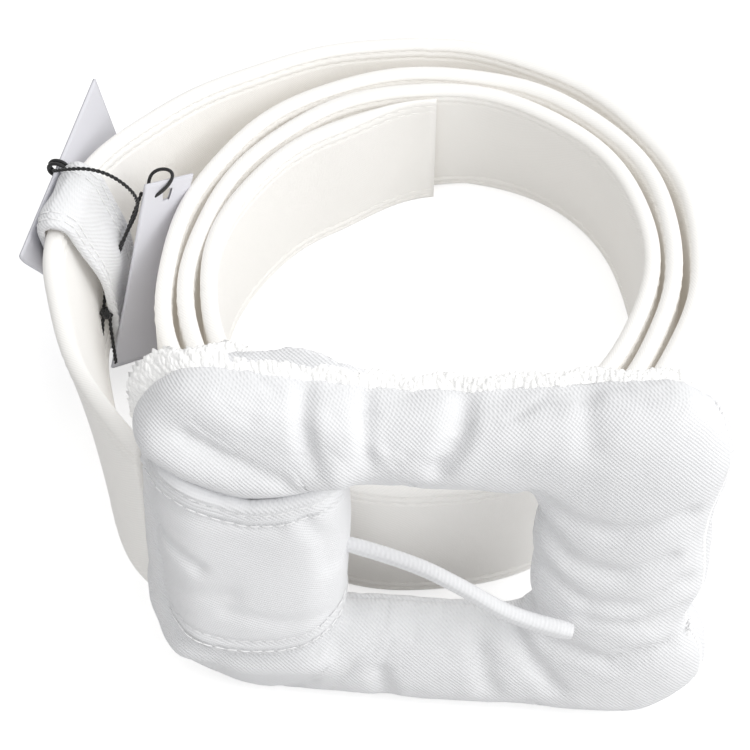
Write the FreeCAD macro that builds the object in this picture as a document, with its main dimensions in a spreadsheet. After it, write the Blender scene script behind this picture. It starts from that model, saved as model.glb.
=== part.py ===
# Fabric belt coiled on its edge: a stuffed rectangular buckle, a cord tongue, a keeper and two hang tags.
# Millimetres. X to the right, Y to the back, Z up, standing on Z = 0.
import FreeCAD, Part
import math
import os
import Sketcher

doc = FreeCAD.newDocument("coiled_belt")
V = FreeCAD.Vector

# ---------------------------------------------------------------- driving dimensions
SIZES = (
    ("strap_width", 40.0), ("strap_thickness", 4.0),
    ("cover_ply", 1.2), ("lining_ply", 1.0), ("edge_turning", 4.0),
    ("stitch_height", 0.25), ("stitch_width", 0.5), ("stitch_row_outer", 1.5), ("stitch_row_inner", 3.6),
    ("start_x", 0.9), ("start_y", 64.4), ("lead_rise", 0.195),
    ("buckle_width", 118.0), ("buckle_height", 91.0), ("buckle_depth", 18.0),
    ("bar_side", 38.0), ("bar_top", 27.0), ("corner_outer", 14.0), ("corner_inner", 6.0),
    ("edge_round", 8.0), ("skin", 1.0), ("seam_plane", 4.0),
    ("stiffener_inset", 10.0), ("stiffener_width", 16.0), ("stiffener_depth", 1.6),
    ("allowance", 3.2), ("allowance_depth", 2.0),
    ("fold_low", 25.5), ("fold_ply", 2.0), ("fold_notch", 5.0), ("neck_x", -60.0), ("neck_round", 2.2),
    ("lean_deg", 12.0), ("yaw_deg", -4.0), ("buckle_x", -2.0), ("buckle_y", -86.5), ("buckle_lift", 0.7),
    ("tongue_diameter", 3.5),
    ("keeper_angle", 166.0), ("keeper_span", 18.0), ("keeper_ply", 2.0), ("keeper_clear", 1.0),
    ("keeper_slack", 2.5),
    ("string_diameter", 0.9), ("knot_diameter", 3.2), ("card_ply", 0.6),
    ("large_tag_width", 55.0), ("large_tag_height", 54.0), ("large_tag_top", 58.0), ("large_tag_offset", 71.0),
    ("large_tag_shift", 5.0), ("small_tag_width", 16.0), ("small_tag_height", 46.0),
    ("tag_hole", 3.0), ("hole_inset", 3.5),
    ("shift_x", 12.1), ("shift_y", 15.2),
)
sheet = doc.addObject("Spreadsheet::Sheet", "Dimensions")
for row, (name, value) in enumerate(SIZES, start=1):
    sheet.set("A%d" % row, name)
    sheet.set("B%d" % row, str(value))
    sheet.setAlias("B%d" % row, name)
doc.recompute()


def size(name):
    return float(getattr(sheet, name))


# Arc radii of the strap's middle line, each turning clockwise seen from above.
LEAD_ARCS = ((91.0, 36.0), (65.0, 49.0), (90.0, 48.0))      # radius, degrees; neck to coil
COIL_RADII = (60.0, 65.5, 54.5, 62.5, 52.0, 60.0, 49.5, 57.0, 47.0, 54.5, 44.5, 51.5)   # quarter turns

SHIFT = V(size("shift_x"), size("shift_y"), 0)
PIECES = []


def polar(angle, radius=1.0):
    return V(radius * math.cos(math.radians(angle)), radius * math.sin(math.radians(angle)), 0)


def strap_arcs():
    """Centre, radius, first and last normal angle of each arc, split into lead-in and coil."""
    start = V(size("start_x"), size("start_y"), 0)
    lead, angle = [], 90.0
    centre = start - polar(90, LEAD_ARCS[-1][0])
    previous = LEAD_ARCS[-1][0]
    for radius, turn in reversed(LEAD_ARCS):
        centre = centre + polar(angle, previous - radius)
        lead.insert(0, (centre, radius, angle + turn, angle))
        angle, previous = angle + turn, radius
    coil, angle = [], 90.0
    centre = start - polar(90, COIL_RADII[0])
    previous = COIL_RADII[0]
    for radius in COIL_RADII:
        centre = centre + polar(angle, previous - radius)
        coil.append((centre, radius, angle, angle - 90))
        angle, previous = angle - 90, radius
    return lead, coil


LEAD, COIL = strap_arcs()


def band_face(arcs, low, high):
    """Plan of a ply between two distances outward from the middle line."""
    def side(offset):
        edges = []
        for centre, radius, first, last in arcs:
            points = [centre + polar(a, radius + offset) for a in (first, (first + last) / 2, last)]
            edges.append(Part.Arc(*points).toShape())
        return edges
    outer, inner = side(high), side(low)
    ends = [Part.LineSegment(outer[0].firstVertex().Point, inner[0].firstVertex().Point).toShape(),
            Part.LineSegment(outer[-1].lastVertex().Point, inner[-1].lastVertex().Point).toShape()]
    return Part.Face(Part.Wire(Part.__sortEdges__(outer + inner + ends)))


def lead_slab(bottom, top):
    """Block between two parallel planes that rise toward the neck, kept above the floor."""
    rise, join = size("lead_rise"), size("start_y") + size("strap_thickness") / 2
    near, far = -120.0, 100.0
    corners = [V(-150, y, z + rise * (join - y)) for y, z in
               ((near, bottom), (far, bottom), (far, top), (near, top), (near, bottom))]
    return Part.Face(Part.makePolygon(corners)).extrude(V(300, 0, 0)).common(
        Part.makeBox(400, 400, 200, V(-200, -200, 0)))


def strap_ply(low, high, bottom, top, stop):
    """One ply of the strap: the rising lead-in, cut off at the neck, and the flat coil in one solid."""
    lead = band_face(LEAD, low, high).extrude(V(0, 0, 150)).common(lead_slab(bottom, top)).cut(stop)
    coil = band_face(COIL, low, high)
    coil.translate(V(0, 0, bottom))
    return lead.fuse(coil.extrude(V(0, 0, top - bottom))).removeSplitter()


def add_feature(label, shape, placement=None):
    piece = doc.addObject("Part::Feature", label)
    piece.Shape = shape
    piece.Placement = placement if placement else FreeCAD.Placement(SHIFT, FreeCAD.Rotation())
    PIECES.append(piece)
    return piece


def lean_placement():
    """Where the buckle stands: turned a little to the right and leaning back on the coil."""
    turn = FreeCAD.Rotation(V(0, 0, 1), size("yaw_deg")).multiply(
        FreeCAD.Rotation(V(1, 0, 0), -size("lean_deg")))
    return FreeCAD.Placement(V(size("buckle_x"), size("buckle_y"), size("buckle_lift")) + SHIFT, turn)


# ---------------------------------------------------------------- strap
def make_strap():
    half, width = size("strap_thickness") / 2, size("strap_width")
    edge, cover, lining = size("edge_turning"), size("cover_ply"), size("lining_ply")
    placement = lean_placement()
    # The strap stops at a plane along the leaning neck line, just short of the fold's round end.
    angle = LEAD[0][2]
    axis = placement.Rotation.multVec(V(0, 0, 1))
    forward = V(-math.sin(math.radians(angle)), math.cos(math.radians(angle)), 0)
    side = axis.cross(forward).normalize()
    normal = side.cross(axis).normalize()
    base = placement.multVec(V(size("neck_x"), 0, 0)) - SHIFT - normal * (size("neck_round") + 0.9)
    corners = [base + side * s + axis * a for s, a in ((60, -60), (-60, -60), (-60, 120), (60, 120), (60, -60))]
    stop = Part.Face(Part.makePolygon(corners)).extrude(normal * 60)

    def ply(low, high, bottom, top):
        return strap_ply(low, high, bottom, top, stop)

    whole = ply(-half, half, 0, width)
    pocket = ply(-half, half - cover, edge, width - edge)
    add_feature("strap_cover", whole.cut(pocket))
    add_feature("strap_core", ply(-half + lining, half - cover, edge, width - edge))
    add_feature("strap_lining", ply(-half, -half + lining, edge, width - edge))
    rows, thread, height = [], size("stitch_width"), size("stitch_height")
    for inset in (size("stitch_row_outer"), size("stitch_row_inner") - thread):
        for z in (inset, width - inset - thread):
            rows.append(ply(half, half + height, z, z + thread))
            rows.append(ply(-half - height, -half, z, z + thread))
    add_feature("edge_stitching", Part.makeCompound(rows))


# ---------------------------------------------------------------- sketch helpers
def origin_plane(body, role):
    return [o for o in body.Origin.OriginFeatures if o.Role == role][0]


def new_sketch(body, name, role):
    sketch = body.newObject("Sketcher::SketchObject", name)
    sketch.AttachmentSupport = [(origin_plane(body, role), "")]
    sketch.MapMode = "FlatFace"
    return sketch


def rounded_rectangle(sketch, x0, y0, x1, y1, radius, left_radius=None):
    """Four lines and four quarter arcs, joined end to end."""
    left = left_radius if left_radius else radius
    corners = ((x1 - radius, y1 - radius, 0, radius), (x0 + left, y1 - left, 90, left),
               (x0 + left, y0 + left, 180, left), (x1 - radius, y0 + radius, 270, radius))
    for index, (cx, cy, angle, radius) in enumerate(corners):
        nx, ny, following, next_radius = corners[(index + 1) % 4]
        circle = Part.Circle(V(cx, cy, 0), V(0, 0, 1), radius)
        sketch.addGeometry(Part.ArcOfCircle(circle, math.radians(angle), math.radians(angle + 90)))
        sketch.addGeometry(Part.LineSegment(V(cx, cy, 0) + polar(angle + 90, radius),
                                            V(nx, ny, 0) + polar(following, next_radius)))


def rectangle(sketch, x0, y0, x1, y1):
    corners = (V(x0, y0, 0), V(x1, y0, 0), V(x1, y1, 0), V(x0, y1, 0))
    for index in range(4):
        sketch.addGeometry(Part.LineSegment(corners[index], corners[(index + 1) % 4]))


def new_pad(body, sketch, name, length, midplane=False):
    pad = body.newObject("PartDesign::Pad", name)
    pad.Profile = sketch
    pad.Length = length
    pad.Midplane = midplane
    return pad


# ---------------------------------------------------------------- buckle
def frame_blank(label, inset):
    """The stuffed frame's outer form, drawn in by inset on every face."""
    body = doc.addObject("PartDesign::Body", label)
    half = size("buckle_width") / 2 - inset
    low, high = inset, size("buckle_height") - inset
    side, top = size("bar_side") - 2 * inset, size("bar_top") - 2 * inset
    sketch = new_sketch(body, label + "_outline", "XZ_Plane")
    rounded_rectangle(sketch, -half, low, half, high, size("corner_outer") - inset)
    rounded_rectangle(sketch, -half + side, low + top, half - side, high - top, size("corner_inner") + inset)
    depth = size("buckle_depth") - 2 * inset
    pad = new_pad(body, sketch, label + "_pad", depth, True)
    doc.recompute()
    rims = ["Edge%d" % n for n, edge in enumerate(pad.Shape.Edges, start=1)
            if all(abs(abs(v.Point.y) - depth / 2) < 1e-6 for v in edge.Vertexes)]
    fillet = body.newObject("PartDesign::Fillet", label + "_rounding")
    fillet.Base = (pad, rims)
    fillet.Radius = size("edge_round") - inset
    notch = new_sketch(body, label + "_notch", "XZ_Plane")
    left = -size("buckle_width") / 2
    reach = left + size("fold_notch") + inset
    below = size("fold_low") - 0.3 - inset
    above = size("fold_low") + size("strap_width") + 0.3 + inset
    rectangle(notch, left - 5, below, reach, above)
    pocket = body.newObject("PartDesign::Pocket", label + "_waist")
    pocket.Profile = notch
    pocket.Type = "ThroughAll"
    pocket.Midplane = True
    return body


def stiffener_body(label):
    """Flat inner frame that keeps the stuffing square."""
    body = doc.addObject("PartDesign::Body", label)
    inset, wide = size("stiffener_inset"), size("stiffener_width")
    half, low, high = size("buckle_width") / 2 - inset, inset, size("buckle_height") - inset
    sketch = new_sketch(body, label + "_outline", "XZ_Plane")
    rounded_rectangle(sketch, -half, low, half, high, 8.0)
    rounded_rectangle(sketch, -half + wide, low + wide * 0.6, half - wide, high - wide * 0.6, 8.0)
    new_pad(body, sketch, label + "_pad", size("stiffener_depth"), True)
    return body


def boolean(kind, label, base, tool, placement=None):
    piece = doc.addObject(kind, label)
    piece.Base, piece.Tool = base, tool
    if placement:
        piece.Placement = placement
        PIECES.append(piece)
    return piece


def seam_strip():
    """Flat L of raw edges: along the top of the frame and down its right side."""
    body = doc.addObject("PartDesign::Body", "seam_strip")
    sketch = new_sketch(body, "seam_strip_outline", "XZ_Plane")
    rise, right, top = size("allowance"), size("buckle_width") / 2, size("buckle_height")
    path = ((-right + 3, top - 12), (right - 12, top - 12), (right - 12, 16), (right + rise, 16),
            (right + rise, top - 6), (right - 6, top + rise), (-right + 3, top + rise))
    for index, (x, z) in enumerate(path):
        nx, nz = path[(index + 1) % len(path)]
        sketch.addGeometry(Part.LineSegment(V(x, z, 0), V(nx, nz, 0)))
    sketch.AttachmentOffset = FreeCAD.Placement(V(0, 0, -size("seam_plane")), FreeCAD.Rotation())
    new_pad(body, sketch, "seam_strip_pad", size("allowance_depth"), True)
    return body


def fold_blank():
    """The strap's end folded round the left bar, with the neck that the strap is sewn to."""
    body = doc.addObject("PartDesign::Body", "fold_blank")
    sketch = new_sketch(body, "fold_outline", "XY_Plane")
    ply, half = size("fold_ply"), size("buckle_depth") / 2
    left = -size("buckle_width") / 2 + size("fold_notch") - ply
    right = -size("buckle_width") / 2 + size("bar_side") + ply
    rounded_rectangle(sketch, left, -half - ply, right, half + ply, size("edge_round") + ply, ply)
    sketch.AttachmentOffset = FreeCAD.Placement(V(0, 0, size("fold_low")), FreeCAD.Rotation())
    new_pad(body, sketch, "fold_pad", size("strap_width"))
    neck = new_sketch(body, "neck_outline", "XY_Plane")
    end, round_end = size("neck_x"), size("neck_round")
    circle = Part.Circle(V(end, 0, 0), V(0, 0, 1), round_end)
    neck.addGeometry(Part.ArcOfCircle(circle, math.pi / 2, 3 * math.pi / 2))
    neck.addGeometry(Part.LineSegment(V(end, -round_end, 0), V(left + 1, -round_end, 0)))
    neck.addGeometry(Part.LineSegment(V(left + 1, -round_end, 0), V(left + 1, round_end, 0)))
    neck.addGeometry(Part.LineSegment(V(left + 1, round_end, 0), V(end, round_end, 0)))
    neck.AttachmentOffset = FreeCAD.Placement(V(0, 0, size("fold_low")), FreeCAD.Rotation())
    new_pad(body, neck, "neck_pad", size("strap_width"))
    return body


def make_buckle():
    placement = lean_placement()
    outer, inner = frame_blank("frame_outer", 0.0), frame_blank("frame_inner", size("skin"))
    boolean("Part::Cut", "buckle_padding", inner, stiffener_body("stiffener_space"), placement)
    stiffener = stiffener_body("buckle_stiffener")
    stiffener.Placement = placement
    PIECES.append(stiffener)
    shell = boolean("Part::Cut", "frame_shell", outer, inner)
    front = doc.addObject("Part::Box", "front_half")
    front.Placement = FreeCAD.Placement(V(-100, -50, -20), FreeCAD.Rotation())
    front.Length, front.Height = 200, 150
    front.setExpression("Width", "50 + Dimensions.seam_plane")
    boolean("Part::Common", "buckle_front_cover", shell, front, placement)
    boolean("Part::Cut", "buckle_back_cover", shell, front, placement)
    boolean("Part::Cut", "buckle_seam_edge", seam_strip(), outer, placement)
    boolean("Part::Cut", "strap_fold", fold_blank(), outer, placement)

    half, ply, thread = size("buckle_depth") / 2, size("fold_ply"), size("stitch_width")
    height, low, wide = size("stitch_height"), size("fold_low"), size("strap_width")
    rows = []
    for inset in (size("stitch_row_outer"), size("stitch_row_inner") - thread):
        for z in (low + inset, low + wide - inset - thread):
            rows.append(Part.makeBox(16, height, thread, V(-46, -half - ply - height, z)))
            rows.append(Part.makeBox(16, height, thread, V(-46, half + ply, z)))
    neck = V(size("neck_x") + 1.2, -size("neck_round") - height, low)
    rows.append(Part.makeBox(thread, height, wide, neck))
    add_feature("fold_stitching", Part.makeCompound(rows), placement)

    tack = Part.makeCylinder(0.6, 9.0, V(size("buckle_width") / 2 + 0.6, -1.0, 24.0), V(0, 0, 1))
    add_feature("side_tack", tack.cut(outer.Shape), placement)


# ---------------------------------------------------------------- cords
def cord_tube(label, route, diameter, placement=None):
    """Straight runs joined by tangent arcs, as large as the two runs at each point allow."""
    edges, here = [], V(*route[0])
    for before, at, after in zip(route, route[1:], route[2:]):
        a, p, b = V(*before), V(*at), V(*after)
        back, ahead = (a - p).normalize(), (b - p).normalize()
        turn = math.pi - back.getAngle(ahead)
        reach = 0.45 * min((a - p).Length, (b - p).Length)
        radius = reach / math.tan(turn / 2)
        print("%s: turn %.0f deg, radius %.1f mm" % (label, math.degrees(turn), radius))
        first, last = p + back * reach, p + ahead * reach
        middle = p + (back + ahead).normalize() * (radius / math.cos(turn / 2) - radius)
        edges += [Part.LineSegment(here, first).toShape(), Part.Arc(first, middle, last).toShape()]
        here = last
    edges.append(Part.LineSegment(here, V(*route[-1])).toShape())
    length = sum(edge.Length for edge in edges)
    start = V(*route[0])
    disc = Part.Face(Part.Wire(Part.makeCircle(diameter / 2, start, V(*route[1]) - start)))
    tube = Part.Wire(edges).makePipeShell([disc.OuterWire], True, False)
    ratio = tube.Volume / (disc.Area * length)
    print("%s: length %.1f mm, volume against section times length %.4f" % (label, length, ratio))
    return add_feature(label, tube, placement)


TONGUE_ROUTE = ((-16.7, -2.0, 44.7), (-2.0, -7.0, 47.0), (15.0, -12.4, 44.5), (30.9, -12.4, 34.5))
LONG_STRING = ((-83.6, 12.7, 60.2), (-77.5, 11.6, 59.0), (-71.8, 11.8, 56.0), (-68.6, 14.0, 50.0),
               (-67.4, 14.6, 43.5), (-69.8, 9.0, 37.5), (-72.9, 2.6, 31.5), (-73.6, -4.2, 25.5),
               (-74.1, -8.2, 20.5), (-74.3, -10.3, 14.8))
SHORT_STRING = ((-64.9, 16.9, 42.4), (-67.6, 11.0, 38.2), (-71.3, 3.8, 32.2), (-72.6, -4.3, 24.8),
                (-71.8, -8.8, 19.5), (-71.4, -10.8, 14.5))


def make_cords():
    thread = size("string_diameter")
    cord_tube("tongue_cord", TONGUE_ROUTE, size("tongue_diameter"), lean_placement())
    cord_tube("string_long", LONG_STRING, thread)
    cord_tube("string_short", SHORT_STRING, thread)
    add_feature("string_knot", Part.makeSphere(size("knot_diameter") / 2, V(-73.1, -4.3, 25.1)))



# ---------------------------------------------------------------- keeper
def make_keeper():
    """Loop round the lead-in, made along its arc so that it can slide."""
    centre, radius = LEAD[1][0], LEAD[1][1]
    half, clear = size("strap_thickness") / 2, size("keeper_clear")
    ply, slack = size("keeper_ply"), size("keeper_slack")
    first = size("keeper_angle") + size("keeper_span") / 2
    arc = [(centre, radius, first, first - size("keeper_span"))]

    def block(low, high, bottom, top):
        return band_face(arc, low, high).extrude(V(0, 0, 150)).common(lead_slab(bottom, top))

    low, high = -half - slack, half + clear
    top = size("strap_width") + clear
    loop = block(low - ply, high + ply, -clear - ply, top + ply).cut(block(low, high, -clear, top))
    add_feature("keeper_loop", loop)
    middle = size("keeper_angle") + 1.0
    arc[0] = (centre, radius, middle, middle - 2.0)
    add_feature("keeper_seam", block(low - ply - 0.5, low - ply, -clear - ply, top + ply))


# ---------------------------------------------------------------- hang tags
def card_body(label, width, height, placement, holes, corner):
    """Flat card hanging down from its top edge, with a hole for the string."""
    body = doc.addObject("PartDesign::Body", label)
    sketch = new_sketch(body, label + "_outline", "XZ_Plane")
    rounded_rectangle(sketch, -width / 2, -height, width / 2, 0, corner)
    for x, z in holes:
        sketch.addGeometry(Part.Circle(V(x, z, 0), V(0, 0, 1), size("tag_hole") / 2))
    new_pad(body, sketch, label + "_pad", size("card_ply"), True)
    body.Placement = placement
    PIECES.append(body)
    return body


def card_placement(corner, along, down):
    """Place a card by a point on its top edge, the way that edge runs and the way it hangs."""
    x = V(*along).normalize()
    y = x.cross(V(*down)).normalize()
    z = x.cross(y)
    matrix = FreeCAD.Matrix(x.x, y.x, z.x, 0, x.y, y.y, z.y, 0, x.z, y.z, z.z, 0, 0, 0, 0, 1)
    return FreeCAD.Placement(V(*corner) + SHIFT, FreeCAD.Placement(matrix).Rotation)


def make_tags():
    centre, angle = LEAD[1][0], size("keeper_angle")
    tangent = polar(angle - 90)
    middle = centre + polar(angle, size("large_tag_offset")) + tangent * size("large_tag_shift")
    top = V(middle.x, middle.y, size("large_tag_top"))
    place = card_placement(tuple(top), tuple(tangent), (0, 0, -1))
    card_body("hang_tag_large", size("large_tag_width"), size("large_tag_height"), place,
              ((0, -size("hole_inset")),), 0.8)
    ring = Part.makeTorus(2.2, size("string_diameter") / 2, top - V(0, 0, size("hole_inset") - 2.2), tangent)
    add_feature("large_tag_loop", ring)

    along, down = V(0.612, 0.612, -0.5), V(-0.202, -0.491, -0.848)
    corner = V(-65.8, 12.7, 50.0) + along * (size("small_tag_width") / 2)
    place = card_placement(tuple(corner), tuple(along), tuple(down))
    card_body("hang_tag_small", size("small_tag_width"), size("small_tag_height"), place,
              ((0, -size("hole_inset")),), 1.5)
    ring = Part.makeTorus(2.8, size("string_diameter") / 2, corner + down * (size("hole_inset") - 2.8), along)
    add_feature("small_tag_loop", ring)


# ---------------------------------------------------------------- build and write
make_strap()
make_buckle()
make_cords()
make_keeper()
make_tags()
doc.recompute()
for item in doc.Objects:
    if "Invalid" in item.State or "Error" in item.State:
        raise RuntimeError("%s did not rebuild: %s" % (item.Label, item.State))
os.makedirs("parts", exist_ok=True)
for piece in PIECES:
    if piece.Shape.isNull() or not piece.Shape.isValid():
        raise RuntimeError("%s has no valid shape" % piece.Label)
    piece.Shape.exportStep(os.path.join("parts", piece.Label + ".step"))
    box = piece.Shape.BoundBox
    print("%-20s solids %d, volume %9.1f, X %7.2f %7.2f, Y %7.2f %7.2f, Z %6.2f %6.2f" % (
        piece.Label, len(piece.Shape.Solids), piece.Shape.Volume, box.XMin, box.XMax, box.YMin, box.YMax,
        box.ZMin, box.ZMax))
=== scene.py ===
import bmesh
import bpy
import math
import numpy as np
from mathutils import Matrix, Vector, noise


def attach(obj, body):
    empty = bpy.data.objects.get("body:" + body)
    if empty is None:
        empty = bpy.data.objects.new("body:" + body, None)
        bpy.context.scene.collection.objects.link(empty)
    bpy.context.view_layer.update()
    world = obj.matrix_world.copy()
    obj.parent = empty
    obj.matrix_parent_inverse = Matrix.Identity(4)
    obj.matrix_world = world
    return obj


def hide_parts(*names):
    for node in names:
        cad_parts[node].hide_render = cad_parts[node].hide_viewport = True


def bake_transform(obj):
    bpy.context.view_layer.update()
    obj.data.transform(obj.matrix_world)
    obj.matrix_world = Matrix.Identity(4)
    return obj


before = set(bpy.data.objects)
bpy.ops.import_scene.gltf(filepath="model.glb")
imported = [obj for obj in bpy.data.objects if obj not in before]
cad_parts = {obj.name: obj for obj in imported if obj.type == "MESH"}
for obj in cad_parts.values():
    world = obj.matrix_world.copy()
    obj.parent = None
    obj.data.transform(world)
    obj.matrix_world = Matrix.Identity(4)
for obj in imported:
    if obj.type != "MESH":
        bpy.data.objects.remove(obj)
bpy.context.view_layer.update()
MM = 0.001
RNG = np.random.default_rng(7)
SHIFT = np.array([12.1, 15.2, 0.0])


# ---------- camera
def make_camera():
    cam = bpy.data.objects.new("Camera", bpy.data.cameras.new("Camera"))
    bpy.context.scene.collection.objects.link(cam)
    elevation, distance = math.radians(55.0), 0.600
    target = Vector((0.0001, -0.0168, 0.040))
    back = Vector((0.0, -math.cos(elevation), math.sin(elevation)))
    cam.location = target + back * distance
    cam.rotation_mode = "QUATERNION"
    cam.rotation_quaternion = (-back).to_track_quat("-Z", "Y")
    cam.data.lens, cam.data.sensor_width = 132.5, 36.0
    cam.data.clip_start, cam.data.clip_end = 0.01, 20.0
    bpy.context.scene.camera = cam


make_camera()


# ---------- the buckle's own axes
LEAN, YAW = math.radians(12.0), math.radians(-4.0)
AX = np.array([math.cos(YAW), math.sin(YAW), 0.0])
BACK = np.array([-math.sin(YAW), math.cos(YAW), 0.0])
AZ = BACK * math.sin(LEAN) + np.array([0, 0, math.cos(LEAN)])
AY = BACK * math.cos(LEAN) - np.array([0, 0, math.sin(LEAN)])
FOOT = np.array([-2.0, -86.5, 0.7]) + SHIFT


def from_buckle(points):
    """Points on the buckle's axes (right, back, up; mm) as row-frame points in mm."""
    p = np.asarray(points, float)
    return FOOT + p[..., :1] * AX + p[..., 1:2] * AY + p[..., 2:3] * AZ


# ---------- mesh helpers
def mesh_object(name, verts, faces, smooth=True):
    """verts in millimetres."""
    mesh = bpy.data.meshes.new(name)
    mesh.from_pydata((np.asarray(verts, float) * MM).tolist(), [], faces)
    mesh.validate()
    mesh.polygons.foreach_set("use_smooth", [smooth] * len(mesh.polygons))
    obj = bpy.data.objects.new(name, mesh)
    bpy.context.scene.collection.objects.link(obj)
    return obj


def grid_faces(rows, columns, close_rows=False, close_columns=False, offset=0):
    """Quads of a grid of points, closed round either way."""
    faces = []
    for i in range(rows if close_rows else rows - 1):
        for j in range(columns if close_columns else columns - 1):
            a, b = offset + i * columns + j, offset + i * columns + (j + 1) % columns
            c = offset + ((i + 1) % rows) * columns + (j + 1) % columns
            d = offset + ((i + 1) % rows) * columns + j
            faces.append((a, d, c, b))
    return faces


def smooth_step(x, low, high):
    t = np.clip((np.asarray(x, float) - low) / (high - low), 0, 1)
    return t * t * (3 - 2 * t)


def bump_at(x, centre, width):
    """Bell of height 1 round a centre."""
    return np.exp(-(((np.asarray(x, float) - centre) / width) ** 2))


def curve_through(points, count):
    """Catmull-Rom curve through given points, evenly spread."""
    p = np.asarray(points, float)
    q = np.vstack([2 * p[0] - p[1], p, 2 * p[-1] - p[-2]])
    out = []
    for i in range(len(p) - 1):
        a, b, c, d = q[i], q[i + 1], q[i + 2], q[i + 3]
        for t in np.linspace(0, 1, 24, endpoint=False):
            out.append(0.5 * ((2 * b) + (c - a) * t + (2 * a - 5 * b + 4 * c - d) * t * t
                              + (3 * b - a - 3 * c + d) * t ** 3))
    out.append(p[-1])
    out = np.array(out)
    run = np.concatenate([[0], np.cumsum(np.linalg.norm(np.diff(out, axis=0), axis=1))])
    where = np.linspace(0, run[-1], count)
    return np.stack([np.interp(where, run, out[:, k]) for k in range(out.shape[1])], 1)


def wobble(points, scale, seed=0.0):
    """Smooth noise, one value per point (mm)."""
    return np.array([noise.noise(Vector((p[0] * scale + seed, p[1] * scale - seed, p[2] * scale)))
                     for p in np.asarray(points, float)])


def tube(path, radius, sides=6, ends=True):
    """Verts and faces of a tube; radius may vary along it."""
    path = np.asarray(path, float)
    radius = np.broadcast_to(np.asarray(radius, float), (len(path),))
    verts, up = [], np.array([0.13, 0.31, 0.94])
    for i, p in enumerate(path):
        t = path[min(i + 1, len(path) - 1)] - path[max(i - 1, 0)]
        t = t / (np.linalg.norm(t) + 1e-12)
        u = up - t * (up @ t)
        u /= np.linalg.norm(u) + 1e-12
        w = np.cross(t, u)
        up = u
        for k in range(sides):
            a = 2 * math.pi * k / sides
            verts.append(p + radius[i] * (u * math.cos(a) + w * math.sin(a)))
    faces = grid_faces(len(path), sides, close_columns=True)
    if ends:
        faces += [tuple(range(sides)), tuple(range((len(path) - 1) * sides + sides - 1,
                                                   (len(path) - 1) * sides - 1, -1))]
    return np.array(verts), faces


def join_parts(name, parts):
    """One mesh from several (verts, faces)."""
    verts, faces, count = [], [], 0
    for v, f in parts:
        verts.append(np.asarray(v))
        faces += [tuple(i + count for i in face) for face in f]
        count += len(v)
    return mesh_object(name, np.vstack(verts), faces)


def stitch(centre, along, out, length, thick):
    """One stitch: a short thread that dips into the cloth at both ends."""
    t = np.linspace(-0.5, 0.5, 5)
    rise = (0.25 - t * t) * 4 * thick * 0.75 - thick * 0.55
    path = centre + np.outer(t * length, along) + np.outer(rise, out)
    return tube(path, thick * np.array([0.6, 1.0, 1.05, 1.0, 0.6]), 6)


# ---------- materials
def fabric(name, color, pitch=0.6, ribs=(0.80, 0.0, 0.60), strength=0.35, sheen=0.25, uv=False):
    """Matt cotton twill: fine diagonal ribs crossed by finer yarns, with fuzz and uneven yarn, and painted
    shade in the grooves of the weave.
    """
    mat = bpy.data.materials.new(name)
    mat.use_nodes = True
    nodes, links = mat.node_tree.nodes, mat.node_tree.links
    bsdf = nodes["Principled BSDF"]
    bsdf.inputs["Roughness"].default_value = 0.92
    bsdf.inputs["Specular IOR Level"].default_value = 0.15
    bsdf.inputs["Sheen Weight"].default_value = sheen
    bsdf.inputs["Sheen Roughness"].default_value = 0.5
    coords = nodes.new("ShaderNodeTexCoord")

    def math_node(kind, a, b=None, c=None):
        node = nodes.new("ShaderNodeMath")
        node.operation = kind
        for socket, value in zip(node.inputs, (a, b, c)):
            if value is None:
                continue
            if isinstance(value, float):
                socket.default_value = value
            else:
                links.new(value, socket)
        return node.outputs[0]

    def noise_node(scale, detail):
        node = nodes.new("ShaderNodeTexNoise")
        node.inputs["Scale"].default_value = scale
        node.inputs["Detail"].default_value = detail
        links.new(coords.outputs["Object"], node.inputs["Vector"])
        return node.outputs["Fac"]

    def yarns(direction, spacing, drift):
        along = nodes.new("ShaderNodeVectorMath")
        along.operation = "DOT_PRODUCT"
        links.new(coords.outputs["UV" if uv else "Object"], along.inputs[0])
        along.inputs[1].default_value = tuple(2 * math.pi / (spacing * MM) * d for d in direction)
        phase = math_node("MULTIPLY_ADD", drift, 5.0, along.outputs["Value"])
        return math_node("SINE", phase)

    drift = noise_node(160.0, 1.0)
    cross = (ribs[2], 0.0, -ribs[0]) if not uv else (ribs[1], -ribs[0], 0.0)
    height = math_node("MULTIPLY_ADD", yarns(cross, pitch * 0.8, drift), 0.35, yarns(ribs, pitch, drift))
    height = math_node("MULTIPLY_ADD", noise_node(2600.0, 3.0), 1.6, height)
    bump = nodes.new("ShaderNodeBump")
    bump.inputs["Strength"].default_value = strength
    bump.inputs["Distance"].default_value = 0.0001
    links.new(height, bump.inputs["Height"])
    links.new(bump.outputs["Normal"], bsdf.inputs["Normal"])
    # Painted shade and yarn tone: the colour follows the weave's height, darker in the grooves and lighter on
    # the ribs, with uneven tone from the fine noise.
    groove_shade_and_tone = nodes.new("ShaderNodeMapRange")
    groove_shade_and_tone.inputs["From Min"].default_value = -1.4
    groove_shade_and_tone.inputs["From Max"].default_value = 3.0
    groove_shade_and_tone.inputs["To Min"].default_value = 0.95
    groove_shade_and_tone.inputs["To Max"].default_value = 1.02
    links.new(height, groove_shade_and_tone.inputs["Value"])
    mix = nodes.new("ShaderNodeVectorMath")
    mix.operation = "SCALE"
    mix.inputs[0].default_value = color
    links.new(groove_shade_and_tone.outputs["Result"], mix.inputs["Scale"])
    links.new(mix.outputs["Vector"], bsdf.inputs["Base Color"])
    return mat


def paint_glow_fill(mat, color, strength):
    """Painted light: a faint glow of the material's own, which lifts the shade in gaps and crevices."""
    bsdf = mat.node_tree.nodes["Principled BSDF"]
    bsdf.inputs["Emission Color"].default_value = (*color, 1)
    bsdf.inputs["Emission Strength"].default_value = strength
    return mat


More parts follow.
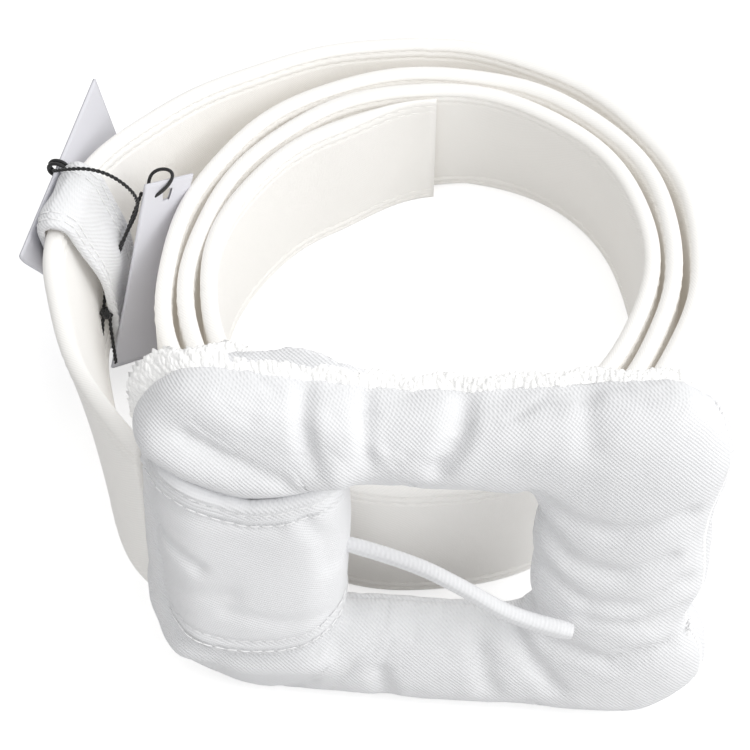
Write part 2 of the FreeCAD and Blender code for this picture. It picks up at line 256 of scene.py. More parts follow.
def plain(name, color, roughness=0.6, sheen=0.0, specular=0.3):
    mat = bpy.data.materials.new(name)
    mat.use_nodes = True
    bsdf = mat.node_tree.nodes["Principled BSDF"]
    bsdf.inputs["Base Color"].default_value = (*color, 1)
    bsdf.inputs["Roughness"].default_value = roughness
    bsdf.inputs["Sheen Weight"].default_value = sheen
    bsdf.inputs["Specular IOR Level"].default_value = specular
    return mat


WHITE = (0.86, 0.864, 0.878)
TWILL = fabric("white_twill", WHITE, pitch=0.62, ribs=(0.62, 0.45, 0.65), strength=0.55)
STRAP = fabric("strap_twill", (0.938, 0.930, 0.912), pitch=0.55, ribs=(0.6, 0.8, 0.0), strength=0.16, uv=True)
TONGUE_TWILL = fabric("tongue_twill", WHITE, pitch=0.8, ribs=(0.9, 0.0, -0.45), strength=0.25)
FOLD = fabric("fold_twill", WHITE, pitch=0.58, ribs=(0.35, 0.0, 0.94), strength=0.35)
# Painted light: a faint warm glow on the strap that fills the shade in the coil's gaps with a warm tone.
paint_glow_fill(STRAP, (1.0, 0.90, 0.76), 0.06)
THREAD = plain("thread", (0.90, 0.90, 0.905), 0.75, 0.3)
OVERLOCK = fabric("overlock", (0.88, 0.878, 0.872), pitch=0.9, ribs=(1.0, 0.0, 0.0), strength=0.35, sheen=0.5)
# Painted light: a faint white glow on the overlocked edge that fills the shade between its loops.
paint_glow_fill(OVERLOCK, (1.0, 0.995, 0.98), 0.19)
# Painted light: the strap's stitches get the same faint warm glow as the strap.
STRAP_THREAD = paint_glow_fill(plain("strap_thread", (0.935, 0.925, 0.905), 0.8, 0.2), (1.0, 0.9, 0.76), 0.06)
STRING = plain("black_string", (0.012, 0.012, 0.013), 0.55, 0.2, 0.4)
CARD = plain("card", (0.72, 0.72, 0.765), 0.5)


def dress(obj, material, body, slot, *nodes):
    """A piece's material, body and the CAD nodes it stands for; the slot argument is not used."""
    obj.data.materials.append(material)
    if body:
        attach(obj, body)
    if nodes:
        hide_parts(*nodes)
    return obj


# ---------- cords
def nurbs(name, points):
    """The route as a smooth spline; points in metres."""
    data = bpy.data.curves.new(name, "CURVE")
    data.dimensions = "3D"
    data.resolution_u = 16
    spline = data.splines.new("NURBS")
    spline.points.add(len(points) - 1)
    for point, place in zip(spline.points, points):
        point.co = (*place, 1.0)
    spline.order_u = 3
    spline.use_endpoint_u = True
    obj = bpy.data.objects.new(name, data)
    bpy.context.scene.collection.objects.link(obj)
    return obj


def line_of(curve):
    """Points along the curve's own line, in mm, evenly spread."""
    mesh = bpy.data.meshes.new_from_object(curve.evaluated_get(bpy.context.evaluated_depsgraph_get()))
    line = np.array([v.co for v in mesh.vertices]) / MM
    bpy.data.meshes.remove(mesh)
    run = np.concatenate([[0], np.cumsum(np.linalg.norm(np.diff(line, axis=0), axis=1))])
    where = np.linspace(0, run[-1], max(24, int(run[-1] / 0.22)))
    return np.stack([np.interp(where, run, line[:, k]) for k in range(3)], 1)


def twisted(line, radius, turn):
    """Two strands twisted round the line."""
    parts = []
    up = np.array([0.2, 0.1, 0.97])
    frames = []
    for i in range(len(line)):
        t = line[min(i + 1, len(line) - 1)] - line[max(i - 1, 0)]
        t /= np.linalg.norm(t)
        u = up - t * (up @ t)
        u /= np.linalg.norm(u)
        up = u
        frames.append((u, np.cross(t, u)))
    step = np.linalg.norm(line[1] - line[0])
    for phase in (0.0, math.pi):
        path = [p + 0.46 * radius * (u * math.cos(phase + 2 * math.pi * i * step / turn)
                                     + w * math.sin(phase + 2 * math.pi * i * step / turn))
                for i, (p, (u, w)) in enumerate(zip(line, frames))]
        parts.append(tube(path, radius * 0.56, 8))
    return parts


def metres(points):
    """Points beside the strap, in mm, as places in metres."""
    return [tuple((np.asarray(p, float) + SHIFT) * MM) for p in points]


LONG_STRING = metres(((-83.6, 14.0, 53.6), (-80.5, 11.8, 57.0), (-75.0, 11.6, 57.4), (-70.0, 11.2, 55.2),
                      (-65.6, 10.4, 50.2), (-65.2, 11.4, 43.5), (-68.8, 8.2, 37.0), (-72.9, 2.6, 31.0),
                      (-73.8, -4.2, 25.2), (-74.3, -8.2, 20.3), (-74.5, -10.3, 14.8)))
SHORT_STRING = metres(((-64.9, 16.9, 42.4), (-67.6, 11.0, 38.2), (-71.3, 3.8, 32.2), (-72.6, -4.3, 24.8),
                       (-71.8, -8.8, 19.5), (-71.4, -10.8, 14.5)))
STRING_RADIUS, TWIST_PITCH, LOOP_RADIUS = 0.45, 2.2, 0.42
TONGUE = ((-16.7, -2.0, 45.0), (-3.0, -7.4, 46.6), (9.0, -11.6, 43.4), (20.0, -13.2, 37.0),
          (30.9, -13.0, 34.3))


def cord_line(name, route):
    guide = nurbs(name + "_line", route)
    line = line_of(guide)
    bpy.data.objects.remove(guide)
    return line


def make_string(name, route):
    line = cord_line(name, route)
    obj = join_parts(name + "_twist", twisted(line, STRING_RADIUS, TWIST_PITCH))
    dress(obj, STRING, "strap", "string", name)
    return obj, line


def make_knot():
    """Three small loops drawn together where the two strings cross."""
    loops = []
    a = np.linspace(0, 2 * math.pi, 26)
    for turn in range(3):
        tilt = Matrix.Rotation(turn * 1.1, 3, Vector((0.4, 1.0, 0.3)))
        loop = np.stack([1.15 * np.cos(a), 1.0 * np.sin(a), 0.35 * np.sin(2 * a)], 1) @ np.array(tilt).T
        loops.append(tube(loop + np.array([-73.1, -4.3, 25.1]) + SHIFT, 0.5, 8, False))
    return dress(join_parts("string_knot_shape", loops), STRING, "strap", "string", "string_knot")


def make_large_loop():
    """Two rings of string side by side through the large card's hole."""
    centre = np.array([-70.96, 32.55, 50.3])
    outward, along = np.array([-0.970, 0.242, 0.0]), np.array([0.242, 0.970, 0.0])
    a = np.linspace(0, 2 * math.pi, 40)
    rings = []
    for side in (-0.5, 0.5):
        ring = centre + np.outer(2.2 * np.cos(a), outward) + np.outer(2.2 * np.sin(a), [0, 0, 1]) \
            + along * side
        rings.append(tube(ring, LOOP_RADIUS, 8, False))
    return dress(join_parts("large_tag_loop_shape", rings), STRING, "large_tag", "string", "large_tag_loop")


def make_small_loop():
    """One loose ring of string through the small card's hole."""
    a = np.linspace(0, 2 * math.pi, 48)
    along, down = np.array([0.612, 0.612, -0.5]), np.array([-0.202, -0.491, -0.848])
    centre = np.array([-65.8, 12.7, 50.0]) + SHIFT + along * 8 + down * 0.7
    front = np.cross(down, along)
    loop = centre + np.outer(2.6 * np.cos(a), front) - np.outer(2.9 * np.sin(a), down) \
        + np.outer(2.2 * np.sin(a) + 0.8 * np.sin(2 * a), along)
    shape = join_parts("small_tag_loop_shape", [tube(loop, LOOP_RADIUS, 8, False)])
    return dress(shape, STRING, "small_tag", "string", "small_tag_loop")


def make_tongue(route):
    """Sewn cord: slightly thicker toward its end, with the groove of its seam along one side."""
    sides = 24
    line = cord_line("tongue", route)
    thick = np.interp(np.linspace(0, 1, len(line)), (0, 0.06, 0.5, 0.86, 0.95, 1.0),
                      (1.55, 1.7, 1.72, 1.85, 1.95, 1.6))
    shape, faces = tube(line, thick, sides)
    ring, station = np.arange(len(shape)) % sides, np.arange(len(shape)) // sides
    middle = line[station]
    groove = 1 - 0.16 * np.exp(-((ring - 7.0) / 1.1) ** 2)
    groove -= 0.012 * np.sin(station * 0.55) ** 2
    tongue = join_parts("tongue_cord_cloth", [(middle + (shape - middle) * groove[:, None], faces)])
    return dress(tongue, TONGUE_TWILL, "tongue", "twill", "tongue_cord"), line


def make_cords():
    long_string, long_line = make_string("string_long", LONG_STRING)
    short_string, short_line = make_string("string_short", SHORT_STRING)
    knot, large, small = make_knot(), make_large_loop(), make_small_loop()
    route = [tuple(p * MM) for p in from_buckle(np.array(TONGUE))]
    tongue, line = make_tongue(route)


make_cords()

# ---------- strap
# radius and degrees of each bend before the coil, then a radius for each quarter turn of the coil
LEAD_ARCS = ((91.0, 36.0), (65.0, 49.0), (90.0, 48.0))
COIL_RADII = (60.0, 65.5, 54.5, 62.5, 52.0, 60.0, 49.5, 57.0, 47.0, 54.5, 44.5, 51.5)
WIDTH, HALF = 40.0, 2.0
CLIMB, CLIMB_START = 0.195, 66.4  # the lead-in rises toward the front, in mm a mm, from this y
LOWER_LEAN = 8.0  # how far the lead-in's lower edge goes in
STITCH_ROWS = (1.9, 4.0, WIDTH - 4.0, WIDTH - 1.9)
STITCH_PITCH, STITCH_LENGTH = 3.3, 2.7
NECK_LENGTH = 24.0


def strap_stations(step=1.6):
    """Plan points, outward normals and distance along the strap, from the neck to the free end."""
    def unit(angle):
        return np.array([math.cos(math.radians(angle)), math.sin(math.radians(angle))])
    begin = np.array([0.9, 64.4])
    arcs, angle = [], 90.0
    centre, previous = begin - unit(90) * LEAD_ARCS[-1][0], LEAD_ARCS[-1][0]
    for radius, turn in reversed(LEAD_ARCS):
        centre = centre + unit(angle) * (previous - radius)
        arcs.insert(0, (centre, radius, angle + turn, angle))
        angle, previous = angle + turn, radius
    angle, centre, previous = 90.0, begin - unit(90) * COIL_RADII[0], COIL_RADII[0]
    for radius in COIL_RADII:
        centre = centre + unit(angle) * (previous - radius)
        arcs.append((centre, radius, angle, angle - 90))
        angle, previous = angle - 90, radius
    plan, normals, angles, lead = [], [], [], []
    for index, (centre, radius, first, last) in enumerate(arcs):
        count = max(2, int(radius * math.radians(abs(first - last)) / step))
        for a in np.linspace(first, last, count, endpoint=index == len(arcs) - 1):
            plan.append(centre + unit(a) * radius)
            normals.append(unit(a))
            angles.append(a)
            lead.append(index < len(LEAD_ARCS))
    plan = np.array(plan)
    run = np.concatenate([[0], np.cumsum(np.linalg.norm(np.diff(plan, axis=0), axis=1))])
    return plan, np.array(normals), run, np.array(angles), np.array(lead)


PLAN, NORMALS, RUN, ANGLES, IN_LEAD = strap_stations()


def strap_point(i, w, v):
    """Point at station i, w mm up the width and v mm outward of the middle line."""
    p, n = PLAN[i], NORMALS[i]
    along = np.array([n[1], -n[0]])
    share, s = w / WIDTH, RUN[i]
    base = CLIMB * (CLIMB_START - p[1]) if IN_LEAD[i] else 0.0
    neck = 1 - smooth_step(s, 0, 32)
    lean = neck * (5.2 - 4.6 * share)
    lean -= LOWER_LEAN * smooth_step(s, 5, 38) * (1 - smooth_step(s, 105, 170)) * (1 - share)
    turn = (ANGLES[i] - 62) % 360
    turn = turn - 360 if turn > 180 else turn
    if s > 900:
        lean += 6.0 * math.exp(-(turn / 40.0) ** 2) * (1 - share)
    end = smooth_step(s, RUN[-1] - 26, RUN[-1] - 3)
    lean += 1.6 * end
    lean += 0.35 * math.sin(s * 0.071 + 1.3 * share) + 0.2 * math.sin(s * 0.19 + 2.0)
    xy = p + n * (v * (1 - 0.65 * end) + lean) + along * neck * (7.7 * share - 8.3)
    z = base + w + 0.25 * math.sin(s * 0.05) + 1.2 * neck * share
    return np.array([xy[0], xy[1], max(z, 0.05)]) + SHIFT


def section():
    """Closed outline of the strap: (w, v) points round two faces and two rounded, turned edges."""
    near_edge, middle = np.linspace(1.1, 5.4, 18), np.linspace(6.2, 33.8, 20)
    face = np.concatenate([near_edge, middle, np.linspace(34.6, 38.9, 18)])
    groove = np.zeros_like(face)
    for row in STITCH_ROWS:
        groove += 0.28 * bump_at(face, row, 0.38)
    crown = 0.18 * np.sin(np.pi * face / WIDTH)
    crown += 0.1 * (bump_at(face, 3.0, 1.0) + bump_at(face, WIDTH - 3.0, 1.0))
    outer = [(w, HALF - g + c - 0.15) for w, g, c in zip(face, groove, crown)]
    inner = [(w, -(HALF - g + c - 0.15)) for w, g, c in zip(face[::-1], groove[::-1], crown[::-1])]
    arc = np.linspace(math.pi / 2, -math.pi / 2, 9)[1:-1]
    top = [(38.9 + 1.1 * math.cos(a), 1.8 * math.sin(a)) for a in arc]
    bottom = [(1.1 - 1.1 * math.cos(a), 1.8 * -math.sin(a)) for a in arc]
    return outer + top + inner + bottom


def cut_strap(whole, normals, columns, name, first, last):
    """The strap from one station to another, shaded as one surface with the rest."""
    obj = whole.copy()
    obj.data = whole.data.copy()
    obj.name = name
    bpy.context.scene.collection.objects.link(obj)
    bm = bmesh.new()
    bm.from_mesh(obj.data)
    bm.verts.ensure_lookup_table()
    keep = set(range(first * columns, (last + 1) * columns))
    bmesh.ops.delete(bm, geom=[v for v in bm.verts if v.index not in keep], context="VERTS")
    bm.to_mesh(obj.data)
    bm.free()
    obj.data.normals_split_custom_set_from_vertices(
        [tuple(n) for n in normals[first * columns:(last + 1) * columns]])
    return obj


def make_strap():
    outline = section()
    count, columns = len(RUN), len(outline)
    verts = np.array([strap_point(i, w, v) for i in range(count) for w, v in outline])
    pucker = 0.10 * np.sin(RUN * 2 * math.pi / STITCH_PITCH)
    for j, (w, v) in enumerate(outline):
        edge = bump_at(w, 2.9, 0.9) + bump_at(w, WIDTH - 2.9, 0.9)
        if edge > 0.02:
            lift = (pucker * edge * np.sign(v))[:, None] * np.c_[NORMALS, np.zeros(count)]
            verts[j::columns] += lift
    faces = grid_faces(count, columns, close_columns=True)
    last_ring = (count - 1) * columns
    faces += [tuple(range(columns)), tuple(range(last_ring + columns - 1, last_ring - 1, -1))]
    whole = mesh_object("strap_whole", verts, faces)
    around = np.concatenate([[0], np.cumsum(np.linalg.norm(np.diff(np.array(outline), axis=0), axis=1))])
    uv = whole.data.uv_layers.new(name="UVMap")
    loop_vert = np.zeros(len(whole.data.loops), int)
    whole.data.loops.foreach_get("vertex_index", loop_vert)
    coords = np.stack([RUN[loop_vert // columns], around[loop_vert % columns]], 1) * MM
    uv.data.foreach_set("uv", coords.ravel())
    normals = np.zeros(len(whole.data.vertices) * 3)
    whole.data.vertex_normals.foreach_get("vector", normals)
    normals = normals.reshape(-1, 3)
    limit = int(np.searchsorted(RUN, NECK_LENGTH))
    neck = cut_strap(whole, normals, columns, "strap_neck", 0, limit)
    main = cut_strap(whole, normals, columns, "strap_cloth", limit, count - 1)
    bpy.data.objects.remove(whole)
    dress(main, STRAP, "strap", "twill", "strap_cover", "strap_core", "strap_lining")
    dress(neck, STRAP, None, "twill")
    return neck


def strap_stitches():
    """Two rows of topstitching along each edge, on both faces."""
    parts = {"strap": [], "neck": []}
    for row in STITCH_ROWS:
        for side in (1, -1):
            for s in np.arange(1.5, RUN[-1] - 2, STITCH_PITCH):
                i = int(np.clip(np.searchsorted(RUN, s), 1, len(RUN) - 2))
                place = strap_point(i, row, side * (HALF - 0.38))
                along = strap_point(i + 1, row, side * HALF) - strap_point(i - 1, row, side * HALF)
                along /= np.linalg.norm(along)
                out = np.array([*NORMALS[i], 0.0]) * side
                body = "neck" if s < NECK_LENGTH else "strap"
                parts[body].append(stitch(place, along, out, STITCH_LENGTH, 0.17))
    dress(join_parts("strap_topstitching", parts["strap"]), STRAP_THREAD, "strap", "thread", "edge_stitching")
    return dress(join_parts("neck_topstitching", parts["neck"]), STRAP_THREAD, None, "thread")


neck_cloth = make_strap()
neck_thread = strap_stitches()
for cloth in (neck_cloth, neck_thread):
    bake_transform(cloth)


# ---------- padded frame of the buckle
def buckle_place(obj):
    """Sets a mesh made on the buckle's axes into its place."""
    place = Matrix.Identity(4)
    for row in range(3):
        place[row][0], place[row][1], place[row][2] = AX[row], AY[row], AZ[row]
        place[row][3] = FOOT[row] * MM
    obj.matrix_world = place
    return obj


def rounded_loop(box, radii, counts):
    """Closed outline in (x, z): left side upward, top, right side downward, bottom; one radius a corner."""
    x0, z0, x1, z1 = box
    (tl, tr, br, bl), (side, flat, turn) = radii, counts
    out = []

    def run(a, b, n):
        out.extend([(a[0] + (b[0] - a[0]) * t, a[1] + (b[1] - a[1]) * t)
                    for t in np.linspace(0, 1, n, False)])

    def corner(cx, cz, r, first, n):
        for t in np.linspace(0, 1, n, False):
            a = math.radians(first - 90 * t)
            out.append((cx + r * math.cos(a), cz + r * math.sin(a)))

    run((x0, z0 + bl), (x0, z1 - tl), side)
    corner(x0 + tl, z1 - tl, tl, 180, turn)
    run((x0 + tl, z1), (x1 - tr, z1), flat)
    corner(x1 - tr, z1 - tr, tr, 90, turn)
    run((x1, z1 - tr), (x1, z0 + br), side)
    corner(x1 - br, z0 + br, br, 0, turn)
    run((x1 - br, z0), (x0 + bl, z0), flat)
    corner(x0 + bl, z0 + bl, bl, -90, turn)
    return np.array(out)


COUNTS = (56, 84, 30)  # stations on a side, on the top or bottom, and round a corner
OUTER = rounded_loop((-58.5, 0.4, 58.6, 87.0), (12.0, 12.0, 15.0, 26.0), COUNTS)
INNER = rounded_loop((-20.0, 23.5, 21.5, 65.0), (6.0, 5.0, 8.0, 6.0), COUNTS)
AROUND = 72  # points round the bar


def near_line(points, line, width):
    """Bell-shaped weight round a polyline, both in (x, z)."""
    best = np.full(len(points), 1e9)
    for a, b in zip(np.asarray(line[:-1], float), np.asarray(line[1:], float)):
        ab = b - a
        t = np.clip(((points - a) @ ab) / (ab @ ab), 0, 1)
        best = np.minimum(best, np.linalg.norm(points - a - t[:, None] * ab, axis=1))
    return np.exp(-((best / width) ** 2))


def outline_changes(loop):
    """The sewn outline isn't straight: it dips, swells and pulls in between its corners."""
    x, z = loop[:, 0].copy(), loop[:, 1].copy()
    top = smooth_step(z, 76, 86)
    loop[:, 1] += top * np.interp(x, (-58, -45, -25, -10, 5, 22, 40, 50, 58),
                                  (0.3, 0.6, -0.6, -2.6, -1.4, 1.0, 3.4, 4.0, 2.5))
    right = smooth_step(x, 46, 57)
    loop[:, 0] += right * (2.0 * bump_at(z, 80, 14) - 0.6 * bump_at(z, 55, 8) - 3.0 * bump_at(z, 31, 6)
                           + 1.5 * bump_at(z, 17, 8))
    return loop


def cushion():
    """Rings of points round the bar, one for each station of the outline."""
    outer, inner = outline_changes(OUTER.copy()), INNER.copy()
    rows = []
    theta = np.linspace(0, 2 * math.pi, AROUND, endpoint=False)
    power = 0.80
    across = np.sign(np.cos(theta)) * np.abs(np.cos(theta)) ** power
    depth = np.sign(np.sin(theta)) * np.abs(np.sin(theta)) ** power
    for o, i in zip(outer, inner):
        mid, reach = (o + i) / 2, (o - i) / 2
        left = bump_at(mid[0], -40, 14) * bump_at(mid[1], 45, 17)
        half = 8.6 + 0.8 * smooth_step(mid[1], 60, 74) - 0.9 * left + 1.3 * smooth_step(mid[0], 10, 45)
        xz = mid + across[:, None] * reach * 0.985
        y = depth * half
        rows.append(np.stack([xz[:, 0], y, xz[:, 1]], 1))
    return np.array(rows)


def seam_rows():
    """Indexes round the bar of the outer and of the inner seam, both toward the back."""
    return int(round(AROUND * 0.085)), int(round(AROUND * 0.435))


def side_seam():
    """Column of the side seam for each station: it comes forward on the way down the right side."""
    side, flat, turn = COUNTS
    station = np.arange(2 * (side + flat) + 4 * turn)
    first = side + turn + flat
    forward = smooth_step(station, first, first + turn) * (1 - smooth_step(station, first + side + turn,
                                                                           first + side + 2 * turn))
    return seam_rows()[0] - forward * (seam_rows()[0] + 3.0)


def inflate(verts, faces, held, pressure, slack, limit, steps=20):
    """Settle the stuffed cover by cloth simulation; returns the new places, in mm."""
    obj = mesh_object("settling", verts, faces)
    group = obj.vertex_groups.new(name="held")
    for i, weight in enumerate(held):
        if weight > 0.01:
            group.add([i], float(weight), "REPLACE")
    cloth = obj.modifiers.new("Settle", "CLOTH")
    s = cloth.settings
    s.quality, s.mass, s.air_damping = 5, 0.12, 2.0
    s.tension_stiffness = s.compression_stiffness = 12.0
    s.shear_stiffness, s.bending_stiffness = 6.0, 0.12
    s.use_pressure, s.uniform_pressure_force = True, pressure
    s.shrink_min = -slack
    s.vertex_group_mass = "held"
    s.effector_weights.gravity = 0.0
    cloth.collision_settings.use_collision = False
    scene = bpy.context.scene
    for step in range(1, steps + 1):
        scene.frame_set(step)
    result = obj.evaluated_get(bpy.context.evaluated_depsgraph_get())
    places = np.array([v.co for v in result.data.vertices]) / MM
    scene.frame_set(1)
    bpy.data.objects.remove(obj)
    move = places - verts
    size = np.linalg.norm(move, axis=1)
    return verts + move * (np.minimum(size, limit) / np.maximum(size, 1e-9))[:, None]


FRONT_CREASES = (
    # line in (x, z) on the front, width, depth
    (((-25.5, 96.0), (-25.0, 84.0), (-23.5, 77.0)), 2.0, 2.2),
    (((-14.0, 96.0), (-13.0, 84.0), (-12.0, 78.0)), 1.7, 1.6),
    (((7.5, 92.0), (6.0, 84.0), (2.0, 76.0)), 2.2, 2.4),
    (((-48.0, 79.5), (-40.0, 75.5), (-28.0, 72.0)), 1.6, 1.3),
    (((30.0, 92.0), (31.0, 84.0)), 2.5, 1.0),
    (((21.0, 67.5), (28.0, 62.5), (38.0, 61.0), (52.0, 66.0)), 2.4, 1.5),
    (((23.0, 57.5), (30.0, 50.5), (40.0, 49.0), (50.0, 53.5)), 2.2, 1.6),
    (((24.0, 46.0), (33.0, 40.0), (45.0, 40.5), (53.0, 45.5)), 2.0, 1.3),
    (((21.0, 32.0), (26.0, 25.5), (39.0, 22.5), (51.0, 27.0)), 2.2, 1.7),
    (((18.0, 26.0), (28.0, 13.0)), 2.2, 1.6),
    (((34.0, 34.5), (44.0, 34.0), (53.0, 37.5)), 1.9, 0.9),
    (((-8.5, 13.0), (-7.0, 5.0)), 2.2, 1.6),
    (((12.0, 20.0), (15.0, 10.0)), 2.6, 1.2),
)


PUFFS = (
    # line in (x, z) where the stuffing swells out beside the fold, width, height
    (((-54.0, 76.0), (-46.0, 72.0), (-36.0, 69.5), (-26.0, 71.0), (-18.0, 73.5)), 4.2, 3.6),
    (((-50.0, 15.5), (-36.0, 13.0), (-22.0, 16.0)), 4.0, 2.6),
)


def make_cushion():
    """Stuffed frame: settled, creased, swollen beside the fold, and parted into its two covers."""
    grid = cushion()
    rows, columns = grid.shape[:2]
    verts = grid.reshape(-1, 3)
    faces = grid_faces(rows, columns, True, True)
    outer_seam, inner_seam = seam_rows()
    ring = np.tile(np.arange(columns), rows)
    held = np.zeros(len(verts))
    for seam, weight in ((outer_seam, 1.0), (inner_seam, 0.9)):
        held = np.maximum(held, weight * (np.abs(ring - seam) <= 0))
    left = bump_at(verts[:, 0], -42, 18) * bump_at(verts[:, 2], 46, 16)
    held = np.maximum(held, np.clip(left * 1.4, 0, 1) * (left > 0.35))
    verts = inflate(verts, faces, held, 5.0, 0.006, 2.2)
    mesh_normals = vertex_normals(verts, faces)
    drop = np.zeros(len(verts))
    front = smooth_step(-verts[:, 1], -7, 1)
    flat = verts[:, [0, 2]]
    for line, width, depth in FRONT_CREASES:
        drop += near_line(flat, line, width) * depth * front
    for line, width, height in PUFFS:
        drop -= near_line(flat, line, width) * height * front
    for seam in (outer_seam, inner_seam, np.repeat(side_seam(), columns)):
        drop += 0.7 * np.exp(-(((ring - seam + columns / 2) % columns - columns / 2) / 0.9) ** 2)
    drop -= 0.35 * wobble(verts, 0.09, 3.0) + 0.2 * wobble(verts, 0.22, 9.0)
    verts = verts - mesh_normals * drop[:, None]
    swell = 8.0 * bump_at(verts[:, 0], -27, 16) + 2.2 * bump_at(verts[:, 0], 28, 22)
    verts[:, 2] += swell * smooth_step(verts[:, 1], 3.8, 8.0) * smooth_step(verts[:, 2], 72, 84)
    verts[:, 2] = np.maximum(verts[:, 2], (0.208 * verts[:, 1] - 0.6) / 0.978)

    def cover(name, first, last, *nodes):
        span = [(first + k) % columns for k in range((last - first) % columns + 1)]
        part = verts.reshape(rows, columns, 3)[:, span].reshape(-1, 3)
        obj = mesh_object(name, part, grid_faces(rows, len(span), True, False))
        buckle_place(obj)
        dress(obj, TWILL, "buckle", "twill", *nodes)
        return obj

    cover("front_cover_cloth", inner_seam, outer_seam, "buckle_front_cover")
    cover("back_cover_cloth", outer_seam, inner_seam, "buckle_back_cover", "buckle_padding",
          "buckle_stiffener")
    return verts.reshape(rows, columns, 3), mesh_normals.reshape(rows, columns, 3)


def vertex_normals(verts, faces):
    f = np.array(faces)
    normal = np.cross(verts[f[:, 2]] - verts[f[:, 0]], verts[f[:, 3]] - verts[f[:, 1]])
    out = np.zeros_like(verts)
    for k in range(4):
        np.add.at(out, f[:, k], normal)
    return out / np.maximum(np.linalg.norm(out, axis=1), 1e-9)[:, None]


cover_grid, cover_normals = make_cushion()


def make_seam_edge():
    """Overlocked raw edge from the top of the left side, along the top and down the right side."""
    side, flat, turn = COUNTS
    outer_seam = seam_rows()[0]
    first, last = side - 10, side + turn * 2 + flat + side - 8
    line = cover_grid[first:last, outer_seam]
    out = cover_normals[first:last, outer_seam].copy()
    out[:, 1] = out[:, 1] * 0.3 + 0.35
    out /= np.linalg.norm(out, axis=1)[:, None]
    count = 600
    line, out = curve_through(line[::3], count), curve_through(out[::3], count)
    tall = np.interp(np.linspace(0, 1, count), (0.0, 0.05, 0.12, 0.20, 0.28, 0.56, 0.62, 0.70, 1.0),
                     (9.5, 9.0, 6.0, 3.8, 3.0, 2.2, 2.6, 1.2, 0.9))
    parts, back = [], np.array([0.0, 1.0, 0.0])
    profile = [(-0.3, -1.7), (0.25, -2.0), (0.6, -1.75), (0.85, -1.0), (0.95, 0.0), (0.85, 1.0), (0.6, 1.7),
               (0.2, 2.0), (-0.3, 1.8)]

    def sway(k):
        return 0.8 * math.sin(k * 0.14) + 0.5 * math.sin(k * 0.061 + 1)

    strip = []
    for k in range(count):
        narrow = 0.45 + 0.14 * min(tall[k], 4.2)
        for j, (h, w) in enumerate(profile):
            rough = 1 + 0.25 * noise.noise(Vector((k * 0.33, j * 0.9, 0.0)))
            rough += 0.1 * noise.noise(Vector((k * 0.9, j, 4)))
            strip.append(line[k] + out[k] * h * tall[k] * rough
                         + back * (w * narrow * rough + 0.6 + sway(k) * max(h, 0)))
    parts.append((np.array(strip), grid_faces(count, len(profile))))
    for k in range(2, count - 2):
        narrow = 0.45 + 0.14 * min(tall[k], 4.2)
        for _ in range(2):
            at, first_angle = RNG.random(), RNG.uniform(0.0, 2.3)
            t = np.linspace(first_angle, first_angle + RNG.uniform(0.5, 0.9), 5)
            skew = (line[k + 2] - line[k - 2]) * RNG.uniform(-1.5, 1.5)
            grow = 0.82 + 0.1 * RNG.random()
            base = line[k] * (1 - at) + line[k + 1] * at
            arc = base + np.outer(np.sin(t) ** 0.7 * tall[k] * grow, out[k]) \
                + np.outer(-np.cos(t) * 2.0 * narrow * grow + 0.6 + sway(k) * np.sin(t), back) \
                + np.outer((t - first_angle) - 0.35, skew)
            parts.append(tube(arc, np.array([0.4, 0.62, 0.7, 0.62, 0.4]) * RNG.uniform(0.8, 1.2), 6, False))
    edge = join_parts("overlocked_edge", parts)
    buckle_place(edge)
    dress(edge, OVERLOCK, "buckle", "overlock", "buckle_seam_edge")


make_seam_edge()


# ---------- strap end folded round the left bar
FOLD_SECTION = ((-60.4, -2.0), (-58.8, -4.2), (-55.5, -8.6), (-48.0, -11.6), (-38.0, -12.3), (-28.0, -12.3),
                (-21.5, -10.8), (-17.6, -6.4), (-16.6, 0.0), (-17.6, 6.4), (-21.5, 10.4), (-28.0, 11.6),
                (-38.0, 11.6), (-48.0, 10.9), (-55.5, 8.0), (-58.8, 4.2), (-60.4, 2.0))
FOLD_TOP = ((-62, 70.0), (-57, 69.6), (-51, 68.2), (-46, 66.6), (-41, 64.6), (-36, 63.6), (-30, 64.6),
            (-25, 66.3), (-20, 67.6), (-16, 67.8))
FOLD_LOW = ((-62, 25.0), (-57, 24.5), (-52, 22.0), (-46, 20.5), (-41, 19.4), (-36, 19.2), (-30, 20.0),
            (-25, 21.6), (-20, 24.6), (-16, 27.0))


def fold_edges(x, y):
    """Upper and lower edge of the fold at a point of its section."""
    top = np.interp(x, *np.array(FOLD_TOP).T)
    low = np.interp(x, *np.array(FOLD_LOW).T)
    back = smooth_step(y, -2, 6)
    return top * (1 - back) + 65.8 * back, low * (1 - back) + 25.5 * back


FOLD_ROWS = (2.2, 4.8)  # the two rows of stitches, from the fold's edge
FOLD_CREASES = (
    (((-58.0, 54.0), (-52.0, 50.0), (-46.0, 46.0)), 1.6, 1.1),
    (((-57.0, 40.0), (-48.0, 38.0), (-40.0, 38.5)), 2.4, 0.5),
    (((-24.0, 61.0), (-20.0, 54.0), (-19.0, 46.0)), 2.0, 0.9),
    (((-56.0, 62.0), (-44.0, 59.5), (-30.0, 59.0)), 2.2, 0.6),
    (((-40.0, 33.5), (-28.0, 31.0), (-20.0, 32.0)), 2.0, 0.6),
)


